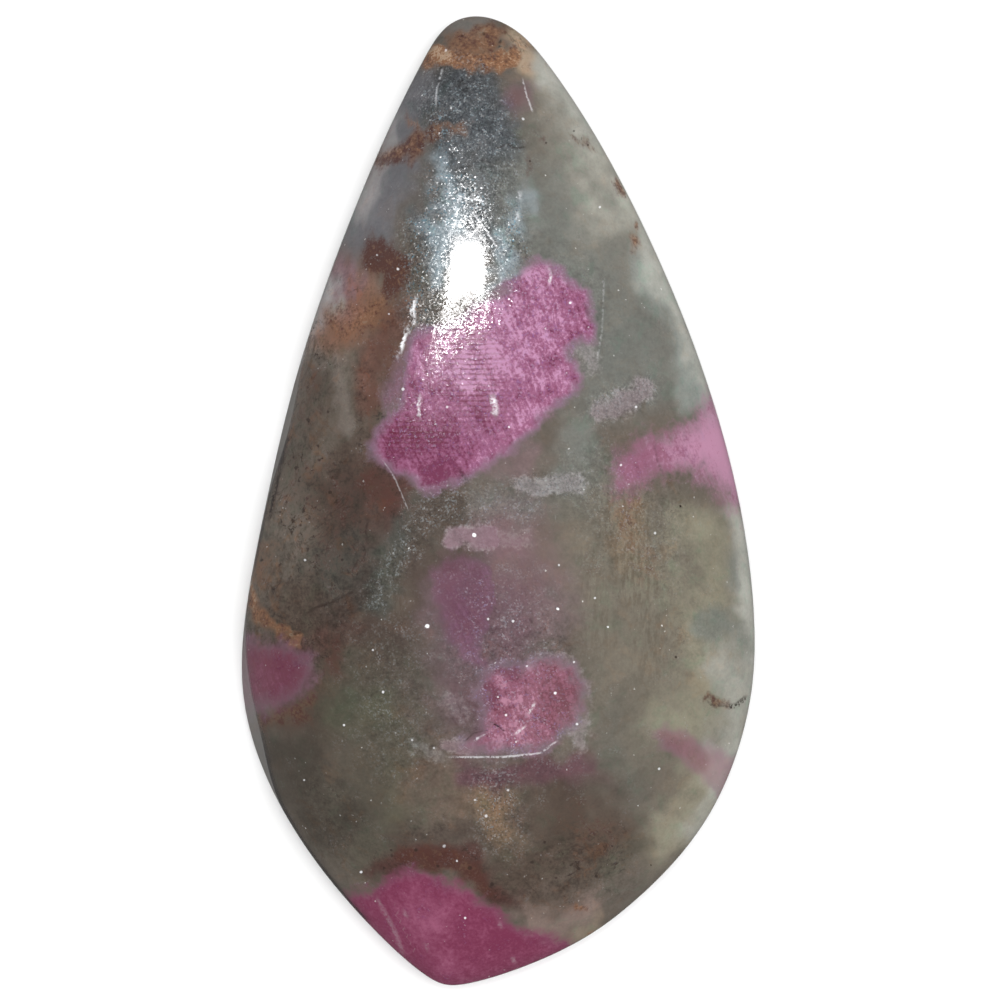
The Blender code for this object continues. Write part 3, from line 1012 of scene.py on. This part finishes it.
# Iron stain over the colour: its edge and its tone are broken up by noise.
def withStain(tree, rock, colour):
    stained = (rock.stainAmount + rock.mottle * 1.1 + rock.fleck * 0.9 + rock.dust * 0.8).step(0.12, 1.05)
    rusty = rock.stainTone + rock.mottle * 0.9 + rock.fleck * 1.7 + rock.dust * 1.5
    stops = [(0.0, "rustPale"), (0.22, "rustOrange"), (0.55, "rust"), (0.95, "redBrown")]
    rust = addNode(tree, "ShaderNodeValToRGB", {"stops": stops}, {0: rusty})
    return mix(stained * 0.88, colour, rust)


# Pale laths over the colour, lightest along their edges.
def withLaths(rock, colour):
    deep = rock.lathDepth + rock.fleck * 2.6 + rock.mottle * 2.8 + rock.dust * 1.0
    edge = deep.step(-1.2, 0.3) * (1.0 - deep.step(0.3, 1.8))
    edge = edge * (0.3 + rock.dust * 3.0 + rock.fleck * 2.0).clamped()
    lath = mix(edge * 0.6, mix(rock.lathPink, "lathGrey", "lathPink"), "lathRim")
    lath = shaded(lath, 1.0 + rock.fleck * 0.8 + rock.dust * 0.8 + rock.mottle * 0.5)
    return mix(deep.step(-1.0, 1.2) * rock.lathAmount, colour, lath)


# Ruby over the colour: pink to deep by its tone with streaks that run down to the right, dark growth lines
# in the large crystal, redder or bluer by its warmth, and grey outermost grains. Keeps its cover and lines.
def withRuby(tree, rock, colour):
    across, along, up = rock.place.parts()
    sideways = (across * 0.92 + along * 0.39) / stoneLook["streakSize"][0]
    lengthways = (across * 0.39 - along * 0.92) / stoneLook["streakSize"][1]
    bent = addNode(tree, "ShaderNodeCombineXYZ", None, {0: sideways + rock.cloud * 5.0, 1: lengthways, 2: up})
    streak = noise(bent, "streak")
    tone = rock.rubyTone + (rock.mottle * 1.0 + rock.fleck * 0.9) * (0.35 + rock.rubyStreaks)
    tone = tone + streak * rock.rubyStreaks * 1.4 + rock.dust * (0.3 + rock.grain + rock.rubyStreaks * 0.7)
    ruby = mix(tone.step(0.0, 0.5), "rubyPink", "rubyMiddle")
    ruby = mix(tone.step(0.45, 1.0), ruby, "rubyDeep")

    wave = along * (2 * math.pi / stoneLook["growthPitch"]) + rock.mottle * 7.0 + rock.cloud * 5.0
    patchy = (rock.fleck * 3.0 + rock.mottle * 2.0 + 0.9).clamped()
    rock.bands = wave.maths("SINE").step(-0.3, 0.9) * patchy * rock.growth
    ruby = mix(rock.bands * 0.65, ruby, "rubyLine")

    redder = times(ruby, (1.1, 0.98, 0.84))
    bluer = times(ruby, (0.84, 0.98, 1.1))
    ruby = mix(rock.rubyWarmth.clamped(), ruby, redder)
    ruby = mix(((rock.hue * 4.0 - 0.2).clamped() * 0.5 - rock.rubyWarmth).clamped(), ruby, bluer)

    deep = rock.rubyDepth + rock.fleck * 2.6 + rock.mottle * 2.6
    rim = (1.0 - deep.step(0.3, 2.6)) * rock.rubyRim * (0.8 + rock.mottle * 1.5).clamped()
    rock.rubyCover = deep.step(-1.2, 1.2) * rock.rubyAmount
    return mix(rock.rubyCover, colour, mix(rim, ruby, "rubyRim"))


# Dark and light grains in the poorly polished zones, the light ones partly pale grains and partly painted
# glints, and a few painted sparkles everywhere.
def withGrains(rock, colour):
    coarse = (rock.grain + rock.mottle * 1.5).clamped()
    dark = (rock.cellDark + rock.fleck * 1.2).step(0.45, 1.05) * coarse * (1.0 - rock.rubyCover * 0.8)
    darker = times(colour, (0.35, 0.36, 0.42))
    colour = mix(dark * (0.7 + rock.glint * 0.3), colour, darker)
    # painted glints: the pale grains grow brighter and cyan where grains glint
    spark = mix(rock.cellHue.step(0.3, 0.7) * (0.2 + rock.glint).clamped(), "grainLight", "grainCool")
    rubySpark = mix(rock.cellHue.step(0.35, 0.65), "rubySpark", "rubyViolet")
    light = (rock.cellPale + rock.fleck * 1.2).step(0.65, 1.2) * coarse
    colour = mix(light * (0.55 + rock.glint * 0.4), colour, mix(rock.rubyCover, spark, rubySpark))
    # painted sparkles: a few pale dots everywhere
    paintedSparkle = rock.cellPale.step(0.993, 0.998) * (rock.fleck + rock.hue).step(0.04, 0.25)
    return mix(paintedSparkle * 0.6, colour, (0.7, 0.7, 0.68))


# Fine lines and small spots, dark specks or painted glints by the sign of their strength, broken up by
# noise, then the greyer ground faces and the painted shade line at the dome's foot.
def withMarks(rock, colour):
    line = 1.0 - (rock.lineOffset + rock.fleck * 2.4 + rock.dust * 2.0).absolute().step(0.2, 1.4)
    line = line * (0.7 + rock.dust * 3.0 + rock.fleck * 3.0).clamped()
    away = (rock.spotAside * rock.spotAside + rock.spotBelow * rock.spotBelow).maths("SQRT")
    spot = 1.0 - (away + rock.dust * 1.2 + rock.fleck * 1.2).step(0.5, 1.2)
    for cover, shown in ((line, rock.lineShown), (spot, rock.spotShown)):
        # pale marks are painted glints
        mark = mix(shown.step(-0.05, 0.05), "speckle", (0.9, 0.9, 0.93))
        colour = mix(cover * shown.absolute(), colour, mark)
    colour = mix(rock.groundShare * 0.5, colour, "groundGrey")
    # painted shade: the dark line at the dome's foot
    return mix(rock.edgeLine, colour, "edge")


# Rougher where grains glint and where the stone is only ground.
def finishOf(rock):
    polish, poorPolish, groundFinish = stoneLook["finish"]
    polished = polish + rock.glint * (poorPolish - polish) + rock.mottle * 0.08
    polished = polished * (1.0 - rock.rubyCover * 0.3)
    return polished * (1.0 - rock.groundShare) + rock.groundShare * groundFinish


# Heights in micrometres: grains that lie as small tilted facets, the unevenness of the polish, the coarser
# ground faces and the growth lines.
def reliefOf(rock):
    offset = rock.place.vector("SUBTRACT", Wire(rock.place.tree, rock.cells.socket.node.outputs["Position"]))
    lean = rock.cells.vector("SUBTRACT", (0.5, 0.5, 0.5))
    steepness = lean.vector("LENGTH", output="Value")
    facets = offset.vector("DOT_PRODUCT", lean, output="Value") * steepness * steepness
    height = facets * (rock.glint * stoneLook["facetTilt"] + 20.0)
    height = height + (rock.dust + rock.fleck) * (rock.glint * 4.0 + rock.grain + 1.0) + rock.mottle * 2.0
    return height + rock.groundShare * (rock.dust * 12.0 + rock.fleck * 12.0) + rock.bands * 0.8


def stoneMaterial():
    material = bpy.data.materials.new("rubyFeldspar")
    material.use_nodes = True
    tree = material.node_tree
    tree.nodes.clear()
    rock = sharedTextures(tree)
    colour = withStain(tree, rock, feldsparColour(tree, rock))
    colour = withRuby(tree, rock, withLaths(rock, colour))
    colour = withMarks(rock, withGrains(rock, colour))
    bumpInputs = {"Height": reliefOf(rock), "Distance": micron, "Strength": 1.0}
    bump = addNode(tree, "ShaderNodeBump", None, bumpInputs)
    inputs = {"Base Color": colour, "Roughness": finishOf(rock), "Normal": bump, "IOR": 1.55}
    shader = addNode(tree, "ShaderNodeBsdfPrincipled", None, inputs)
    out = tree.nodes.new("ShaderNodeOutputMaterial")
    tree.links.new(shader.socket, out.inputs["Surface"])
    print("stone material:", len(tree.nodes), "nodes")
    return material


def addObject(name, data):
    thing = bpy.data.objects.new(name, data)
    bpy.context.scene.collection.objects.link(thing)
    return thing


def buildStone():
    points, depth, ground, edgeLine, (ringCount, stepCount) = stoneGrid()
    places = photoSpots(points, depth)
    ruby, rubyGrain = rubyFields(places)
    fields = {
        "ground": groundColour(places),
        "ruby": ruby,
        "rubyGrain": rubyGrain,
        "crystals": crystalField(places),
        "lath": lathField(places),
        "stain": stainField(places),
        "finish": finishField(places, edgeLine, ground),
        "lines": lineField(places),
        "spots": spotField(places),
    }
    print("stone fields:", ", ".join(fields))

    # relief of the polish, on the dome only and fading out at its edge
    shape = stoneShape
    dome = (1 - ground) * np.clip((points[:, 2] - shape["girdleTop"]) / shape["reliefFade"], 0, 1)
    relief = shape["rippleDepth"] * ripples(points, shape["rippleLength"], seed=5)
    pits = ripples(points, shape["undercutLength"], seed=6, waves=40)
    relief += shape["undercut"] * fields["finish"][:, 0] * pits
    points[:, 2] += dome * (relief - 3 * shape["rippleDepth"])

    quads, fans = gridFaces(ringCount, stepCount)
    mesh = bpy.data.meshes.new("polishedStone")
    mesh.from_pydata(points.tolist(), [], quads.tolist() + fans.tolist())
    for name, values in fields.items():
        attribute = mesh.attributes.new(name, "FLOAT_VECTOR", "POINT")
        attribute.data.foreach_set("vector", values.astype(np.float32).ravel())
    mesh.shade_smooth()
    mesh.update()
    mesh.materials.append(stoneMaterial())
    stone = addObject("polishedStone", mesh)
    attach(stone, "root")
    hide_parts("cabochon")
    print("stone:", len(points), "points")
    return stone


# Studio

studio = {
    "floorRadius": 3.0,
    "floorColour": (0.9, 0.9, 0.9),
    "world": 0.2,
    "keyAngle": (-17.0, 23.0),    # degrees of tilt towards +X and towards +Y
    "keyDistance": 0.45,
    "keySize": (0.25, 0.047),
    "keyPower": 1.9,
    # broad suns that only light matte surfaces: direction, strength, angle across
    "fills": [
        ((0.5, 0.1, 0.85), 3.0, 80.0),
        ((-0.5, 0.0, 0.85), 1.8, 80.0),
    ],
}


def buildFloor():
    radius = studio["floorRadius"]
    corners = [(-radius, -radius, 0), (radius, -radius, 0), (radius, radius, 0), (-radius, radius, 0)]
    mesh = bpy.data.meshes.new("floor")
    mesh.from_pydata(corners, [], [(0, 1, 2, 3)])
    floor = addObject("floor", mesh)
    material = bpy.data.materials.new("floorPaper")
    material.use_nodes = True
    shader = material.node_tree.nodes["Principled BSDF"]
    shader.inputs["Base Color"].default_value = (*studio["floorColour"], 1.0)
    shader.inputs["Roughness"].default_value = 0.9
    shader.inputs["Specular IOR Level"].default_value = 0.0
    mesh.materials.append(material)
    floor.visible_glossy = False
    print("floor: plain paper")
    return floor


# Turns a light so that it shines at the origin and its width stays level with world X.
def aimAtStone(light):
    back = light.location.normalized()
    side = (Vector((1, 0, 0)) - back * back.x).normalized()
    light.rotation_euler = Matrix([side, back.cross(side), back]).transposed().to_euler()


def buildLights():
    world = bpy.data.worlds.new("studio")
    world.use_nodes = True
    world.node_tree.nodes["Background"].inputs["Strength"].default_value = studio["world"]
    world.node_tree.nodes["Background"].inputs["Color"].default_value = (1, 1, 1, 1)
    bpy.context.scene.world = world

    tiltX, tiltY = [math.radians(angle) for angle in studio["keyAngle"]]
    key = addObject("key", bpy.data.lights.new("key", "AREA"))
    key.data.shape = "RECTANGLE"
    key.data.size, key.data.size_y = studio["keySize"]
    key.data.energy = studio["keyPower"]
    away = Vector((math.tan(tiltX), math.tan(tiltY), 1.0)).normalized() * studio["keyDistance"]
    key.location = away
    aimAtStone(key)
    key.visible_diffuse = False

    for direction, strength, angle in studio["fills"]:
        fill = addObject("fill", bpy.data.lights.new("fill", "SUN"))
        fill.data.energy = strength
        fill.data.angle = math.radians(angle)
        fill.location = direction
        aimAtStone(fill)
        fill.visible_glossy = False
    print("lights: one narrow key light and", len(studio["fills"]), "soft fills")


def buildCamera():
    camera = addObject("camera", bpy.data.cameras.new("camera"))
    camera.data.lens = photoView["lens"]
    camera.data.sensor_width = photoView["sensor"]
    camera.data.clip_start = 0.01
    camera.data.clip_end = 20.0
    camera.location = (viewCentre[0], viewCentre[1], viewDistance)
    bpy.context.scene.camera = camera
    print("camera: straight above")


buildCamera()
buildLights()
buildFloor()
buildStone()
bpy.context.scene.view_settings.view_transform = "Standard"
